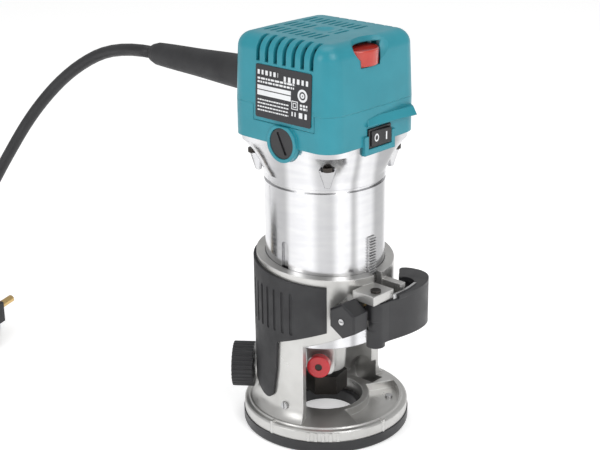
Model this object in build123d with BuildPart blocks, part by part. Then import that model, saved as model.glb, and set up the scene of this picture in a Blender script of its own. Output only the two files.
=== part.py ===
from build123d import *
from math import atan2, cos, hypot, pi, radians, sin, tan
import os

# Trim router: fixed base with a clamp lever, sliding motor unit, collet spindle and cord.
# Millimetres, +Z up along the spindle axis, z = 0 at the underside of the sole plate.
# -Y is the front (switch, speed dial, rack and clamp), -X carries the rating plate.

os.makedirs("parts", exist_ok=True)


def save(piece, name):
    """Label one finished piece and write its STEP file."""
    piece.label = name
    export_step(piece, f"parts/{name}.step")


def spoke_plane(azimuth, radius, height):
    """Plane whose Z axis points outwards at an azimuth measured from the front (-Y)."""
    out = Vector(sin(radians(azimuth)), -cos(radians(azimuth)), 0)
    return Plane(origin=out * radius + Vector(0, 0, height), x_dir=(0, 0, 1), z_dir=out)


def wedge(start, end, reach):
    """Corners of a pie slice between two azimuths from the front."""
    steps = 6
    turns = [start + (end - start) * i / steps for i in range(steps + 1)]
    return [(0, 0)] + [(reach * sin(radians(a)), -reach * cos(radians(a))) for a in turns]


# ---------------------------------------------------------------- driving dimensions
BARREL_R = 32.5          # standard 65 mm motor barrel
BARREL_BOTTOM = 55.5
BARREL_TOP = 142.8
NECK_BOTTOM = 148.0
NECK_TOP = 168.0
SEAM_Z = 187.0
HOUSING_TOP = 222.0
SLIDING_GAP = 0.2

SOLE_R = 46.5
SOLE_T = 6.5
SOLE_HOLE_R = 17.5
FLANGE_R = 46.0
FLANGE_TOP = 13.7
FLANGE_HOLE_R = 21.0

COLLAR_IN = BARREL_R + SLIDING_GAP
COLLAR_OUT = 37.6
COLLAR_FRONT_TOP = 96.0
COLLAR_SLOPE = 5.1       # degrees that the collar's top rises to the rear
ARCH_Z = 67.0
WINDOW_LEFT = -67
WINDOW_RIGHT = 78
REAR_WINDOW = (112, 196)

PINION_Y = -38.5
PINION_Z = 78.5
MODULE = 0.5
PINION_TEETH = 18
PITCH_R = MODULE * PINION_TEETH / 2
RACK_HALF_W = 2.6
GAP_HALF_W = 3.0
SHAFT_R = 2.5

PIN_X = -12.5
PIN_Y = -46.5
BOLT_Z = 74.0

NOSE_R = 13.5
SWITCH_X = 1.2
SWITCH_Z = 171.5
ROCKER_PIN_Y = -33.0
LOCK_AZ = -57
LOCK_Z = 41.0
SPINDLE_R = 5.0
HOUSING_X = 35.0
HOUSING_Y = 36.0
BRUSH_Z = 169.5
BRUSH_Y = -4.0

KNOB_AZ = -142
KNOB_Z = 30.0

CORD_D = 7.4
CORD_Z = 190.0
GUARD_END = 134.0
COIL_X = -104.0
COIL_Y = 265.0
COIL_MID_R = 41.0
COIL_COLUMNS = 4
COIL_LAYERS = 2

# ---------------------------------------------------------------- sole and base casting
with BuildPart() as sole_plate:
    Cylinder(SOLE_R, SOLE_T, align=(Align.CENTER, Align.CENTER, Align.MIN))
    Cylinder(SOLE_HOLE_R, SOLE_T, align=(Align.CENTER, Align.CENTER, Align.MIN), mode=Mode.SUBTRACT)
    fillet(sole_plate.edges().filter_by(GeomType.CIRCLE).group_by(Axis.Z)[0].sort_by(SortBy.RADIUS)[-1], 1.6)
    with BuildSketch() as screw_seats:
        with PolarLocations(36, 4, start_angle=45):
            Circle(3.6)
    extrude(amount=2.4, mode=Mode.SUBTRACT)
    with BuildSketch() as screw_ways:
        with PolarLocations(36, 4, start_angle=45):
            Circle(2.1)
    extrude(amount=SOLE_T, mode=Mode.SUBTRACT)
save(sole_plate.part, "sole_plate")

with BuildPart() as sole_screws:
    with BuildSketch(Plane.XY.offset(0.4)):
        with PolarLocations(36, 4, start_angle=45):
            Circle(3.5)
    extrude(amount=2.0)
    with BuildSketch(Plane.XY.offset(2.4)):
        with PolarLocations(36, 4, start_angle=45):
            Circle(2.0)
    extrude(amount=8.0)
    with BuildSketch(Plane.XY.offset(0.4)):
        with PolarLocations(36, 4, start_angle=45):
            Rectangle(4.4, 0.9)
            Rectangle(0.9, 4.4)
    extrude(amount=1.1, mode=Mode.SUBTRACT)
save(sole_screws.part, "sole_screws")

with BuildPart() as front_window:
    with BuildSketch(Plane.XY.offset(FLANGE_TOP)):
        Polygon(*wedge(WINDOW_LEFT, WINDOW_RIGHT, 60), align=None)
    extrude(amount=60)
    with BuildSketch(Plane.XZ.offset(-5)) as arch:
        with BuildLine():
            ThreePointArc((-35, 58.0), (0, ARCH_Z), (37, 57.0))
            Line((37, 57.0), (50, 50))
            Line((50, 50), (50, 0))
            Line((50, 0), (-50, 0))
            Line((-50, 0), (-50, 50))
            Line((-50, 50), (-35, 58.0))
        make_face()
    extrude(amount=60, both=True, mode=Mode.INTERSECT)

with BuildPart() as base_casting:
    with BuildSketch(Plane.XZ):
        with BuildLine():
            Polyline((FLANGE_HOLE_R, SOLE_T), (FLANGE_R, SOLE_T), (FLANGE_R, 11.9), (45.3, 12.6))
            Polyline((45.3, 12.6), (43.4, 12.9), (43.0, FLANGE_TOP), (41.8, FLANGE_TOP))
            ThreePointArc((41.8, FLANGE_TOP), (38.9, 17.0), (COLLAR_OUT, 22.0))
            Line((COLLAR_OUT, 22.0), (COLLAR_OUT, 104))
            Polyline((COLLAR_OUT, 104), (COLLAR_IN, 104), (COLLAR_IN, FLANGE_TOP))
            Line((COLLAR_IN, FLANGE_TOP), (FLANGE_HOLE_R, FLANGE_TOP))
            Line((FLANGE_HOLE_R, FLANGE_TOP), (FLANGE_HOLE_R, SOLE_T))
        make_face()
    revolve(axis=Axis.Z)
    # rim marks and finger ribs on the flange's edge
    for mark in (-88, -5):
        with BuildSketch(spoke_plane(mark, 42.5, 10.2)):
            Rectangle(7.4, 1.2)
        extrude(amount=3.9)
    for rib in range(5):
        with BuildSketch(spoke_plane(-60 + 5 * rib, 44.0, 9.4)):
            Rectangle(5.0, 1.7)
        extrude(amount=2.5)
    # clamp lugs and the pin's upper tine
    with BuildSketch(Plane.XY.offset(63)):
        with Locations((-5, -42.0), (6, -42.0)):
            Rectangle(4, 15.4)
    extrude(amount=29)
    with BuildSketch(Plane.XY.offset(87)):
        with Locations((-11, -43.5)):
            Rectangle(16, 14.5)
    extrude(amount=5)
    with BuildSketch(spoke_plane(KNOB_AZ, 33.5, KNOB_Z)):
        Circle(8.5)
    extrude(amount=5.6)
    # sloping top of the collar
    with BuildSketch(Plane(origin=(0, 0, 99.4), x_dir=(1, 0, 0), z_dir=(0, -tan(radians(COLLAR_SLOPE)), 1))):
        Rectangle(120, 120)
    extrude(amount=20, mode=Mode.SUBTRACT)
    add(front_window.part, mode=Mode.SUBTRACT)
    with BuildSketch(Plane.XY.offset(FLANGE_TOP)):
        Polygon(*wedge(REAR_WINDOW[0], REAR_WINDOW[1], 60), align=None)
    extrude(amount=44, mode=Mode.SUBTRACT)
    # barrel bore, split for the rack, pocket for the knob and lower floor of the flange
    with BuildSketch(Plane.XY.offset(FLANGE_TOP)):
        Circle(COLLAR_IN)
    extrude(amount=100, mode=Mode.SUBTRACT)
    with BuildSketch(Plane.XY.offset(50)):
        with Locations((0, -45)):
            Rectangle(2 * GAP_HALF_W, 40)
    extrude(amount=60, mode=Mode.SUBTRACT)
    with BuildSketch(Plane.YZ.offset(-34)):
        with Locations((PINION_Y, PINION_Z)):
            Circle(10.4)
    extrude(amount=34 - 19.2, mode=Mode.SUBTRACT)
    with BuildSketch(Plane.XY.offset(9.2)) as floor_pocket:
        Polygon(*wedge(-23, 62, 60), align=None)
        Circle(41.6, mode=Mode.INTERSECT)
        Circle(24.5, mode=Mode.SUBTRACT)
    extrude(amount=6, mode=Mode.SUBTRACT)
    # chip recess on the inside of the right leg
    with BuildSketch(Plane.YZ.offset(26)):
        with Locations((-2, 14)):
            Circle(10.5)
    extrude(amount=9.2, mode=Mode.SUBTRACT)
    # bores for the clamp bolt, the pinion shaft's bushes and the lever pin
    with BuildSketch(Plane.YZ.offset(-10)):
        with Locations((PIN_Y, BOLT_Z)):
            Circle(2.1)
        with Locations((PINION_Y, PINION_Z)):
            Circle(3.9)
    extrude(amount=20, mode=Mode.SUBTRACT)
    with BuildSketch(Plane.YZ.offset(-20)):
        with Locations((PINION_Y, PINION_Z)):
            Circle(2.9)
    extrude(amount=15, mode=Mode.SUBTRACT)
    with BuildSketch(Plane.YZ.offset(8.02)):
        with Locations((PINION_Y, PINION_Z)):
            Circle(4.5)
    extrude(amount=4, mode=Mode.SUBTRACT)
    with BuildSketch(Plane.XY.offset(86)):
        with Locations((PIN_X, PIN_Y)):
            Circle(1.6)
    extrude(amount=10, mode=Mode.SUBTRACT)
    with BuildSketch(spoke_plane(KNOB_AZ, 30, KNOB_Z)):
        Circle(2.7)
    extrude(amount=12, mode=Mode.SUBTRACT)
    with BuildSketch(spoke_plane(-84, 36.4, 21)):
        Circle(2.1)
    extrude(amount=6, mode=Mode.SUBTRACT)
    with BuildSketch(Plane.XY.offset(6)):
        with PolarLocations(36, 4, start_angle=45):
            Circle(2.1)
    extrude(amount=4.6, mode=Mode.SUBTRACT)
save(base_casting.part, "base_casting")

with BuildPart() as rubber_grip:
    with BuildSketch(Plane.XY.offset(15)):
        Circle(COLLAR_OUT + 1.6)
        Circle(COLLAR_OUT + 0.05, mode=Mode.SUBTRACT)
        Polygon(*wedge(-47, -190, 60), align=None, mode=Mode.INTERSECT)
    extrude(amount=90)
    with BuildSketch(Plane.YZ):
        with BuildLine():
            Polyline((-32, 92.5), (-32, 69.7), (0, 58.1), (1.2, 40), (3.2, 29))
            Spline((3.2, 29), (7.5, 22.8), (15, 23.6), (24, 28))
            Polyline((24, 28), (26, 58), (45, 58), (45, 100.6), (-32, 92.5))
        make_face()
    extrude(amount=-50, both=True, mode=Mode.INTERSECT)
    # moulded flutes over the rear half
    for flute in range(9):
        with BuildSketch(spoke_plane(-76 - 8 * flute, COLLAR_OUT + 1.0, 76.5)):
            SlotOverall(24, 2.0)
        extrude(amount=3, mode=Mode.SUBTRACT)
    with BuildSketch(spoke_plane(KNOB_AZ, 30, KNOB_Z)):
        Circle(9.2)
    extrude(amount=12, mode=Mode.SUBTRACT)
save(rubber_grip.part, "rubber_grip")

with BuildPart() as leg_screw:
    with BuildSketch(spoke_plane(-84, 36.5, 21)):
        Circle(2.0)
    extrude(amount=2.6)
    with BuildSketch(spoke_plane(-84, 38.4, 21)):
        Rectangle(5, 0.8)
    extrude(amount=2, mode=Mode.SUBTRACT)
save(leg_screw.part, "leg_screw")

# ---------------------------------------------------------------- clamp: bolt, nut, pin, lever
with BuildPart() as clamp_bolt:
    with BuildSketch(Plane.XY.offset(BOLT_Z - 2.5)):
        with Locations((PIN_X, PIN_Y)):
            Circle(4.0)
            Circle(1.6, mode=Mode.SUBTRACT)
    extrude(amount=5)
    with BuildSketch(Plane.YZ.offset(PIN_X + 3.4)):
        with Locations((PIN_Y, BOLT_Z)):
            Circle(1.95)
    extrude(amount=25)
save(clamp_bolt.part, "clamp_bolt")

with BuildPart() as clamp_washer:
    with BuildSketch(Plane.YZ.offset(8.0)):
        with Locations((PIN_Y, BOLT_Z)):
            Circle(3.5)
            Circle(2.0, mode=Mode.SUBTRACT)
    extrude(amount=0.9)
save(clamp_washer.part, "clamp_washer")

with BuildPart() as clamp_nut:
    with BuildSketch(Plane.YZ.offset(8.9)):
        with Locations((PIN_Y, BOLT_Z)):
            RegularPolygon(3.75, 6, rotation=30)
            Circle(2.0, mode=Mode.SUBTRACT)
    extrude(amount=4)
save(clamp_nut.part, "clamp_nut")

with BuildPart() as lever_pin:
    with BuildSketch(Plane.XY.offset(62.2)):
        with Locations((PIN_X, PIN_Y)):
            Circle(1.55)
    extrude(amount=29.8)
    with BuildSketch(Plane.XY.offset(92)):
        with Locations((PIN_X, PIN_Y)):
            Circle(2.8)
    extrude(amount=1.2)
save(lever_pin.part, "lever_pin")

LEVER_LOW = 64.0
LEVER_TOP = 88.8
with BuildPart() as clamp_lever:
    # knuckle, a little eccentric towards the lug so that closing squeezes the split
    with BuildSketch(Plane.XY.offset(61.5)):
        with Locations((PIN_X + 0.35, PIN_Y)):
            Circle(5.0)
    extrude(amount=25.2)
    # hollow handle that sweeps round the front and hugs the collar's right side
    with BuildSketch(Plane.XY.offset(LEVER_LOW)) as handle:
        with BuildLine():
            Line((PIN_X, PIN_Y - 5.0), (-8.0, PIN_Y - 5.4))
            Spline((-8.0, PIN_Y - 5.4), (4, -54.2), (16, -54.6), (27.5, -50.4), (33.2, -40.5), (29.5, -31.6))
            Line((29.5, -31.6), (26.8, -30.6))
            Spline((26.8, -30.6), (22.5, -35.2), (21.5, -41), (17.0, -49.2), (6, -51.3), (-7.6, -51.1))
            Line((-7.6, -51.1), (PIN_X + 1, PIN_Y))
            Line((PIN_X + 1, PIN_Y), (PIN_X, PIN_Y - 5.0))
        make_face()
    extrude(amount=22.5)
    with BuildSketch(Plane.XY.offset(86.4)):
        with BuildLine():
            Line((-1.5, -53.6), (-1.5, -51.2))
            Spline((-1.5, -51.2), (8, -51.2), (17.0, -49.2), (20.5, -42), (17.6, -37.8))
            Spline(
                (17.6, -37.8), (23.5, -33.2), (28.2, -30.2), (33.2, -40.5),
                (27.5, -50.4), (16, -54.6), (6, -54.5), (-1.5, -53.6),
            )
        make_face()
    extrude(amount=LEVER_TOP - 86.4)
    # slot for the bolt's eye, pin hole, room for the lugs and the collar
    with BuildSketch(Plane.XY.offset(BOLT_Z - 2.8)):
        with Locations((PIN_X, PIN_Y)):
            Circle(4.6)
        with Locations((PIN_X + 8, PIN_Y + 0.6)):
            Rectangle(16, 7.4)
        with Locations((PIN_X + 0.6, PIN_Y + 3.5)):
            Rectangle(10.2, 7.4)
    extrude(amount=5.6, mode=Mode.SUBTRACT)
    with BuildSketch(Plane.XY.offset(60)):
        with Locations((PIN_X, PIN_Y)):
            Circle(1.6)
        Circle(COLLAR_OUT + 1.2)
    extrude(amount=40, mode=Mode.SUBTRACT)
save(clamp_lever.part, "clamp_lever")

with BuildPart() as lever_liner:
    with BuildSketch(Plane.XY.offset(LEVER_LOW + 1)):
        with BuildLine():
            Spline((-4.5, -52.0), (6, -52.2), (16.6, -50.4))
            Line((16.6, -50.4), (16.0, -49.1))
            Spline((16.0, -49.1), (6, -50.9), (-4.5, -50.7))
            Line((-4.5, -50.7), (-4.5, -52.0))
        make_face()
    extrude(amount=24.4)
    add(clamp_lever.part, mode=Mode.SUBTRACT)
    add(base_casting.part, mode=Mode.SUBTRACT)
save(lever_liner.part, "lever_liner")

# ---------------------------------------------------------------- rack and pinion depth drive
def tooth_flank(base_r, roll):
    """Point of an involute of a base circle after a roll angle, as radius and turn."""
    return base_r * hypot(1, roll), roll - atan2(roll, 1)


def pinion_outline():
    """Closed outline points of the pinion, with a gap facing the rack."""
    pressure = radians(20)
    base_r = PITCH_R * cos(pressure)
    tip_r = PITCH_R + 0.85 * MODULE
    root_r = PITCH_R - 1.2 * MODULE
    backlash = 0.04
    half_tooth = pi / (2 * PINION_TEETH) - backlash / PITCH_R
    pitch_turn = tan(pressure) - pressure
    tip_roll = (tip_r ** 2 / base_r ** 2 - 1) ** 0.5
    flank = [tooth_flank(base_r, tip_roll * step / 4) for step in range(1, 5)]
    points = []
    for tooth in range(PINION_TEETH):
        middle = 2 * pi * (tooth + 0.5) / PINION_TEETH
        rise = [(root_r, -half_tooth - pitch_turn)]
        rise += [(r, turn - half_tooth - pitch_turn) for r, turn in flank]
        fall = [(r, -turn) for r, turn in reversed(rise)]
        points += [(r * cos(middle + turn), r * sin(middle + turn)) for r, turn in rise + fall]
    return points


with BuildPart() as pinion_gear:
    with BuildSketch(Plane.YZ.offset(-RACK_HALF_W)):
        with Locations((PINION_Y, PINION_Z)):
            Polygon(*pinion_outline(), align=None)
            Circle(SHAFT_R, mode=Mode.SUBTRACT)
    extrude(amount=2 * RACK_HALF_W)
save(pinion_gear.part, "pinion_gear")

with BuildPart() as pinion_shaft:
    with BuildSketch(Plane.YZ.offset(-29.0)):
        with Locations((PINION_Y, PINION_Z)):
            Circle(SHAFT_R)
    extrude(amount=39.5)
save(pinion_shaft.part, "pinion_shaft")

with BuildPart() as shaft_bushes:
    for side in (-7.0, 4.0):
        with BuildSketch(Plane.YZ.offset(side)):
            with Locations((PINION_Y, PINION_Z)):
                Circle(3.9)
                Circle(SHAFT_R + 0.06, mode=Mode.SUBTRACT)
        extrude(amount=3.0 if side < 0 else 4.0)
save(shaft_bushes.part, "shaft_bushes")

with BuildPart() as shaft_clip:
    with BuildSketch(Plane.YZ.offset(8.4)):
        with Locations((PINION_Y, PINION_Z)):
            Circle(4.2)
            Circle(SHAFT_R, mode=Mode.SUBTRACT)
            with Locations((-3, 0)):
                Rectangle(4, 1.6, mode=Mode.SUBTRACT)
    extrude(amount=0.8)
save(shaft_clip.part, "shaft_clip")

with BuildPart() as adjust_knob:
    with BuildSketch(Plane.YZ.offset(-30.5)):
        with Locations((PINION_Y, PINION_Z)):
            RegularPolygon(9.8, 6, rotation=30)
    extrude(amount=10.7)
    chamfer(adjust_knob.edges().filter_by(Plane.YZ).group_by(Axis.X)[0], 1.0)
    with BuildSketch(Plane.YZ.offset(-29.0)):
        with Locations((PINION_Y, PINION_Z)):
            Circle(SHAFT_R)
    extrude(amount=12, mode=Mode.SUBTRACT)
    with BuildSketch(Plane.YZ.offset(-31)):
        with Locations((PINION_Y, PINION_Z)):
            Circle(1.7)
    extrude(amount=2, mode=Mode.SUBTRACT)
save(adjust_knob.part, "adjust_knob")

with BuildPart() as knob_screw:
    with BuildSketch(Plane.YZ.offset(-30.8)):
        with Locations((PINION_Y, PINION_Z)):
            Circle(1.7)
            Rectangle(2.4, 0.5, mode=Mode.SUBTRACT)
    extrude(amount=0.6)
    with BuildSketch(Plane.YZ.offset(-30.2)):
        with Locations((PINION_Y, PINION_Z)):
            Circle(1.7)
    extrude(amount=1.2)
save(knob_screw.part, "knob_screw")

RACK_TOP = 116.0
RACK_BOTTOM = 56.0
RACK_PITCH = pi * MODULE
PITCH_LINE_Y = PINION_Y + PITCH_R + 0.03
with BuildPart() as depth_rack:
    with BuildSketch(Plane.XY.offset(RACK_BOTTOM)):
        with Locations((0, -31.9)):
            Rectangle(2 * RACK_HALF_W, 2.8)
    extrude(amount=RACK_TOP - RACK_BOTTOM)
    with BuildSketch(Plane.YZ.offset(-RACK_HALF_W)):
        first = -int((PINION_Z - RACK_BOTTOM - 1) / RACK_PITCH)
        last = int((RACK_TOP - PINION_Z - 1) / RACK_PITCH)
        centres = [(PITCH_LINE_Y, PINION_Z + i * RACK_PITCH) for i in range(first, last + 1)]
        root_half = RACK_PITCH / 4 + 0.6 * tan(radians(20)) - 0.04
        tip_half = RACK_PITCH / 4 - 0.42 * tan(radians(20)) - 0.04
        with Locations(*centres):
            Polygon((0.75, -root_half), (0.75, root_half), (-0.42, tip_half), (-0.42, -tip_half), align=None)
    extrude(amount=2 * RACK_HALF_W)
save(depth_rack.part, "depth_rack")

# ---------------------------------------------------------------- guide clamp knob on the rear
with BuildPart() as guide_screw:
    with BuildSketch(spoke_plane(KNOB_AZ, 33.2, KNOB_Z)):
        Circle(2.65)
    extrude(amount=11)
save(guide_screw.part, "guide_screw")

with BuildPart() as guide_knob:
    with BuildSketch(spoke_plane(KNOB_AZ, 40.2, KNOB_Z)):
        Circle(12.0)
        with PolarLocations(12.0, 30):
            Circle(0.7)
    extrude(amount=12.0)
    fillet(guide_knob.faces().sort_by(SortBy.AREA)[-1].outer_wire().edges(), 0.4)
    with BuildSketch(spoke_plane(KNOB_AZ, 40.2, KNOB_Z)):
        Circle(2.65)
    extrude(amount=4.0, mode=Mode.SUBTRACT)
save(guide_knob.part, "guide_knob")


# ---------------------------------------------------------------- motor barrel and what it holds
def housing_outline(half_x, half_y, corner, bow=1.3):
    """Rounded rectangle with slightly bowed sides, as a sketch to add to the current one."""
    with BuildSketch() as outline:
        with BuildLine():
            ThreePointArc((-half_x, -half_y + bow), (0, -half_y), (half_x, -half_y + bow))
            ThreePointArc((half_x, -half_y + bow), (half_x + bow / 2, 0), (half_x, half_y - bow))
            ThreePointArc((half_x, half_y - bow), (0, half_y), (-half_x, half_y - bow))
            ThreePointArc((-half_x, half_y - bow), (-half_x - bow / 2, 0), (-half_x, -half_y + bow))
        make_face()
        fillet(outline.vertices(), corner)
    return outline.sketch


TONGUE = (1.0, 24.0)      # centre X and width of the switch surround
with BuildPart() as motor_barrel:
    with BuildSketch(Plane.XY.offset(BARREL_BOTTOM)):
        Circle(BARREL_R)
    extrude(amount=BARREL_TOP - BARREL_BOTTOM)
    with BuildSketch(Plane.XY.offset(BARREL_TOP)):
        Circle(BARREL_R - 1.1)
    extrude(amount=2.0)
    with BuildSketch(Plane.XY.offset(BARREL_TOP + 2.0)):
        Circle(BARREL_R + 0.2)
    extrude(amount=NECK_BOTTOM - BARREL_TOP - 2.0)
    with BuildSketch(Plane.XY.offset(NECK_BOTTOM)):
        Circle(BARREL_R + 0.2)
    with BuildSketch(Plane.XY.offset(157)):
        RectangleRounded(66.5, 68, 25)
    with BuildSketch(Plane.XY.offset(165)):
        RectangleRounded(69.4, 71.2, 14)
    loft()
    with BuildSketch(Plane.XY.offset(165)):
        RectangleRounded(69.4, 71.2, 14)
    extrude(amount=NECK_TOP - 165)
    # screw bosses under the four corners
    with BuildSketch(Plane.XY.offset(NECK_BOTTOM - 0.5)):
        with Locations((-25.4, -24.6), (25.4, -24.6), (-25.4, 24.6), (25.4, 24.6)):
            Circle(1.6)
    extrude(amount=10.0, taper=-18)
    with BuildSketch(Plane.XY.offset(BARREL_BOTTOM + 3)):
        Circle(30.0)
    extrude(amount=92, mode=Mode.SUBTRACT)
    with BuildSketch(Plane.XY.offset(150)):
        RectangleRounded(56, 57, 26)
    with BuildSketch(Plane.XY.offset(NECK_TOP)):
        RectangleRounded(61, 63, 12)
    loft(mode=Mode.SUBTRACT)
    # spindle way, cooling holes in the floor, rack groove and the small guide slot
    with BuildSketch(Plane.XY.offset(50)):
        Circle(11.6)
        with PolarLocations(21, 6, start_angle=15):
            Circle(4.5)
    extrude(amount=10, mode=Mode.SUBTRACT)
    with BuildSketch(Plane.XY.offset(50)):
        with Locations((0, -33.5)):
            Rectangle(2 * RACK_HALF_W + 0.04, 6.0)
    extrude(amount=RACK_TOP - 50, mode=Mode.SUBTRACT)
    with BuildSketch(spoke_plane(-89, BARREL_R - 1.2, 104)):
        SlotOverall(20, 4.4)
    extrude(amount=4, mode=Mode.SUBTRACT)
    # notches for the brush bosses and the switch surround
    with BuildSketch(Plane.YZ):
        with Locations((BRUSH_Y, BRUSH_Z)):
            Circle(10.2)
    extrude(amount=60, both=True, mode=Mode.SUBTRACT)
    with BuildSketch(Plane.XY.offset(163)):
        with Locations((TONGUE[0], -40)):
            Rectangle(TONGUE[1] + 0.2, 30)
    extrude(amount=8, mode=Mode.SUBTRACT)
    # dark pockets where the housing screws sit
    with BuildSketch(Plane.XY.offset(157)):
        with Locations((-27.4, -26.6), (27.4, -26.6), (-27.4, 26.6), (27.4, 26.6)):
            Circle(3.4)
    extrude(amount=2.6, mode=Mode.SUBTRACT)
save(motor_barrel.part, "motor_barrel")

with BuildPart() as housing_screws:
    with BuildSketch(Plane.XY.offset(157.1)):
        with Locations((-27.4, -26.6), (27.4, -26.6), (-27.4, 26.6), (27.4, 26.6)):
            Circle(2.6)
    extrude(amount=2.2)
save(housing_screws.part, "housing_screws")

with BuildPart() as bearing_nose:
    with BuildSketch(Plane.XY.offset(31)):
        Circle(11.0)
    extrude(amount=27.4, taper=-4)
    with BuildSketch(Plane.XY.offset(31)):
        Circle(NOSE_R + 16)
    extrude(amount=BARREL_BOTTOM - 31, mode=Mode.INTERSECT)
    with BuildSketch(spoke_plane(LOCK_AZ, 0, LOCK_Z + 1)):
        RectangleRounded(18, 15, 4)
    extrude(amount=17)
    with BuildSketch(Plane.XY.offset(BARREL_BOTTOM)):
        Circle(11.5)
    extrude(amount=3.5)
    with BuildSketch(Plane.XY.offset(30)):
        Circle(SPINDLE_R + 0.9)
    extrude(amount=40, mode=Mode.SUBTRACT)
    with BuildSketch(Plane.XY.offset(48)):
        Circle(9.5)
    extrude(amount=12, mode=Mode.SUBTRACT)
    with BuildSketch(spoke_plane(LOCK_AZ, 0, LOCK_Z)):
        Circle(2.06)
    extrude(amount=30, mode=Mode.SUBTRACT)
    with BuildSketch(spoke_plane(LOCK_AZ, 9.0, LOCK_Z)):
        Circle(4.4)
    extrude(amount=12, mode=Mode.SUBTRACT)
save(bearing_nose.part, "bearing_nose")


def bearing(name, low, inner, outer, width):
    """Shielded ball bearing drawn as its two rings and shield, one closed solid."""
    with BuildPart() as ring:
        with BuildSketch(Plane.XY.offset(low)):
            Circle(outer)
            Circle(inner, mode=Mode.SUBTRACT)
        extrude(amount=width)
        with BuildSketch(Plane.XY.offset(low)):
            Circle(outer - 1.4)
            Circle(inner + 1.4, mode=Mode.SUBTRACT)
        extrude(amount=0.4, mode=Mode.SUBTRACT)
    save(ring.part, name)


bearing("lower_bearing", 48.5, SPINDLE_R + 0.05, 9.5, 7)
bearing("upper_bearing", 182.0, 3.05, 9.5, 6)

with BuildPart() as stator_core:
    with BuildSketch(Plane.XY.offset(92)):
        Circle(29.9)
        Circle(18.0, mode=Mode.SUBTRACT)
        with PolarLocations(24.5, 2):
            RectangleRounded(6, 18, 2.5, mode=Mode.SUBTRACT)
    extrude(amount=44)
save(stator_core.part, "stator_core")

with BuildPart() as stator_windings:
    for low in (82, 136.3):
        with BuildSketch(Plane.XY.offset(low)):
            Circle(28.4)
            Circle(19.5, mode=Mode.SUBTRACT)
        extrude(amount=9.7)
save(stator_windings.part, "stator_windings")

with BuildPart() as air_baffle:
    with BuildSketch(Plane.XY.offset(78.5)):
        Circle(29.9)
        Circle(20.0, mode=Mode.SUBTRACT)
    extrude(amount=2.5)
save(air_baffle.part, "air_baffle")

# ---------------------------------------------------------------- plastic housing
BULGE_Z = 193.0
with BuildPart() as lower_housing:
    with BuildSketch(Plane.XY.offset(NECK_TOP)):
        add(housing_outline(HOUSING_X + 0.3, HOUSING_Y + 0.3, 11))
    extrude(amount=SEAM_Z - NECK_TOP)
    with BuildSketch(Plane.YZ):
        with Locations((BRUSH_Y, BRUSH_Z)):
            Circle(10.0)
    extrude(amount=HOUSING_X + 2.6, both=True)
    with BuildSketch(Plane.XY.offset(163.2)):
        with Locations((TONGUE[0], -34.2)):
            Rectangle(TONGUE[1], 6.4)
    extrude(amount=10)
    with BuildSketch(Plane.XY.offset(NECK_TOP - 10)):
        add(housing_outline(HOUSING_X - 3.2, HOUSING_Y - 3.2, 9))
    extrude(amount=60, mode=Mode.SUBTRACT)
    # brow over the switch, pointed towards the right corner
    with BuildSketch(Plane.XY.offset(178.2)):
        Polygon((-9, -35), (-9, -37.6), (26.5, -41.0), (33.5, -31.5), (26, -33), (10, -34.5), align=None)
    extrude(amount=4.6, taper=22)
    with BuildSketch(Plane.YZ):
        with Locations((BRUSH_Y, BRUSH_Z)):
            Circle(6.2)
    extrude(amount=60, both=True, mode=Mode.SUBTRACT)
    for side in (-1, 1):
        with BuildSketch(Plane.YZ.offset(side * (HOUSING_X + 0.6))):
            with Locations((BRUSH_Y, BRUSH_Z)):
                Circle(8.2)
        extrude(amount=side * 10, mode=Mode.SUBTRACT)
    with BuildSketch(Plane.XZ.offset(30)):
        with Locations((SWITCH_X, SWITCH_Z)):
            Rectangle(18.4, 10.6)
    extrude(amount=12, mode=Mode.SUBTRACT)
    # rear cord outlet and the notch for the cover's plate tongue
    with BuildSketch(Plane.XZ.offset(-28)):
        with Locations((0, BULGE_Z)):
            Circle(16.2)
    extrude(amount=-20, mode=Mode.SUBTRACT)
    with BuildSketch(Plane.XY.offset(178.4)):
        with Locations((-37, -4)):
            Rectangle(10, 42.4)
    extrude(amount=20, mode=Mode.SUBTRACT)
save(lower_housing.part, "lower_housing")

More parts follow.
